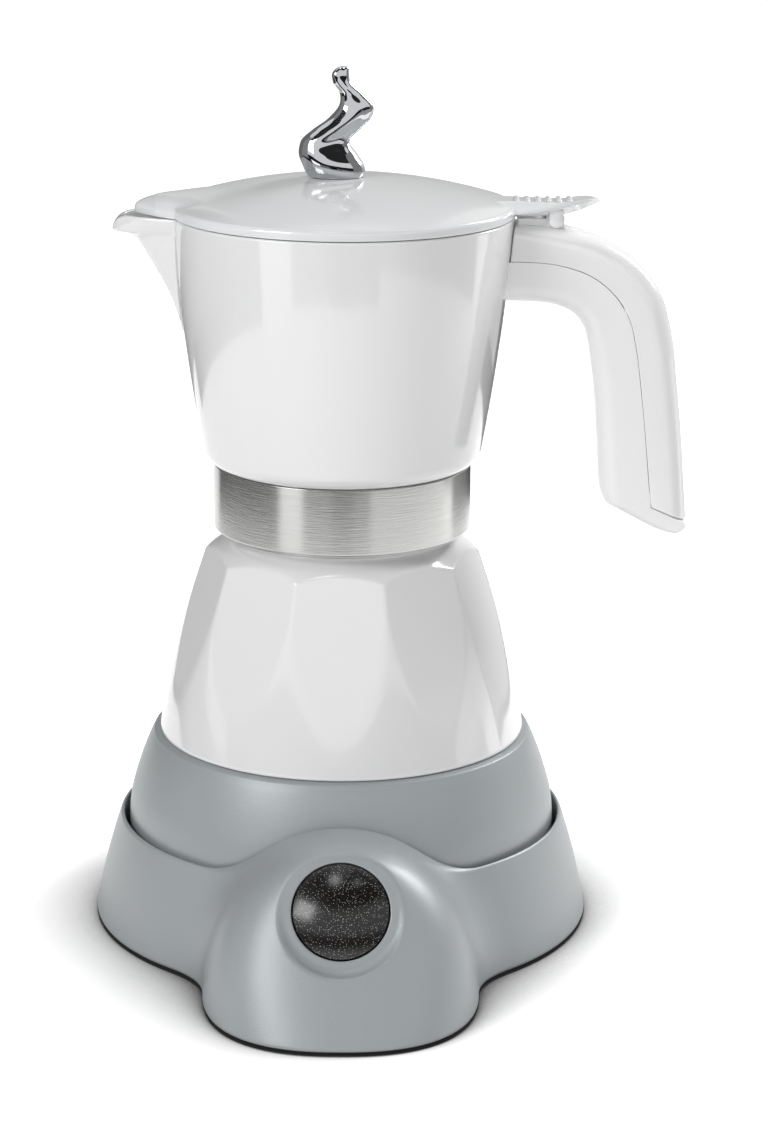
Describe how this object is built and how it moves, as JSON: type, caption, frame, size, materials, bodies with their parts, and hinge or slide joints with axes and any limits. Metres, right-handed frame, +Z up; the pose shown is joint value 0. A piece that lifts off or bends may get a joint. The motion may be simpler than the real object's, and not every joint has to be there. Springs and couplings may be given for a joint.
{
  "type": "electric moka pot",
  "caption": "Electric moka pot: a spouted jug with a hinged lid screws on a faceted boiler that lifts off a round power base with a push button on its nose.",
  "frame": {"origin": "on the pot's vertical axis, on the table top under the feet", "axes": "+Z up, +X towards the handle, -X towards the spout, -Y towards the push button, +Y towards the cord inlet"},
  "size_m": [0.1727, 0.186, 0.2504],
  "materials": {
    "grey_plastic": "fine textured",
    "cover_plastic": "satin",
    "black_rubber": "matte",
    "zinc_steel": "zinc plated",
    "black_plastic": "gloss",
    "contact_brass": "bright",
    "smoked_lens": "smoked, gloss",
    "amber_lamp": "gloss",
    "white_enamel": "gloss",
    "bare_aluminium": "satin",
    "element_steel": "satin",
    "white_plastic": "gloss",
    "band_steel": "brushed and polished",
    "seal_silicone": "matte",
    "knob_chrome": "mirror polish",
    "valve_brass": "bright"
  },
  "bodies": {
    "base": {"base_shell": "grey_plastic", "base_bottom_cover": "cover_plastic", "rubber_feet": "black_rubber", "base_screws": "zinc_steel", "base_socket": "black_plastic", "socket_contacts": "contact_brass", "cord_gland": "black_rubber", "switch_body": "black_plastic", "switch_bracket": "cover_plastic", "indicator_lamps": "amber_lamp"},
    "button": {"button_dome": "smoked_lens", "button_carrier": "black_plastic"},
    "boiler": {"boiler": "white_enamel", "heater_skirt": "grey_plastic", "skirt_bottom_plate": "cover_plastic", "skirt_screws": "zinc_steel", "heat_plate": "bare_aluminium", "heating_element": "element_steel", "pot_connector": "black_plastic", "connector_pins": "contact_brass", "thermostat": "element_steel", "thermal_fuse": "cover_plastic", "safety_valve_body": "valve_brass"},
    "valve": {"valve_stem": "zinc_steel"},
    "funnel": {"coffee_funnel": "bare_aluminium", "funnel_sieve": "bare_aluminium"},
    "gasket_ring": {"gasket": "seal_silicone"},
    "filter": {"filter_plate": "bare_aluminium"},
    "jug_top": {"jug": "white_plastic", "handle_cover": "white_plastic", "riser_column": "bare_aluminium", "riser_cap": "white_plastic", "column_seal": "seal_silicone", "threaded_collar": "bare_aluminium", "steel_band": "band_steel", "hinge_pin": "element_steel"},
    "lid_top": {"lid": "white_plastic", "knob": "knob_chrome", "knob_screw": "zinc_steel"}
  },
  "joints": [
    {"name": "button_press", "type": "slide", "parent": "base", "child": "button", "axis": [0, 0.8526, -0.5225], "range_m": [0, 0.0025], "stiffness_N_per_m": 400, "springref_m": -0.002},
    {"name": "pot_lift", "type": "slide", "parent": "base", "child": "boiler", "axis": [0, 0, 1], "range_m": [0, 0.08]},
    {"name": "valve_open", "type": "slide", "parent": "boiler", "child": "valve", "axis": [0, 1, 0], "range_m": [0, 0.0012], "stiffness_N_per_m": 2000, "springref_m": -0.002},
    {"name": "funnel_lift", "type": "slide", "parent": "boiler", "child": "funnel", "axis": [0, 0, 1], "range_m": [0, 0.07]},
    {"name": "jug_lift", "type": "slide", "parent": "boiler", "child": "gasket_ring", "axis": [0, 0, 1], "range_m": [0, 0.14]},
    {"name": "thread_rise", "type": "slide", "parent": "gasket_ring", "child": "filter", "axis": [0, 0, 1], "range_m": [0, 0.00451]},
    {"name": "jug_unscrew", "type": "hinge", "parent": "filter", "child": "jug_top", "pos_m": [0, 0, 0.118], "axis": [0, 0, 1], "range_deg": [0, 540]},
    {"name": "lid_hinge", "type": "hinge", "parent": "jug_top", "child": "lid_top", "pos_m": [0.06, 0, 0.2081], "axis": [0, 1, 0], "range_deg": [0, 42]}
  ],
  "couplings": [
    {"joint": "funnel_lift", "follows": "jug_lift", "ratio": 0.5},
    {"joint": "thread_rise", "follows": "jug_unscrew", "m_per_rad": 0.00047746}
  ]
}
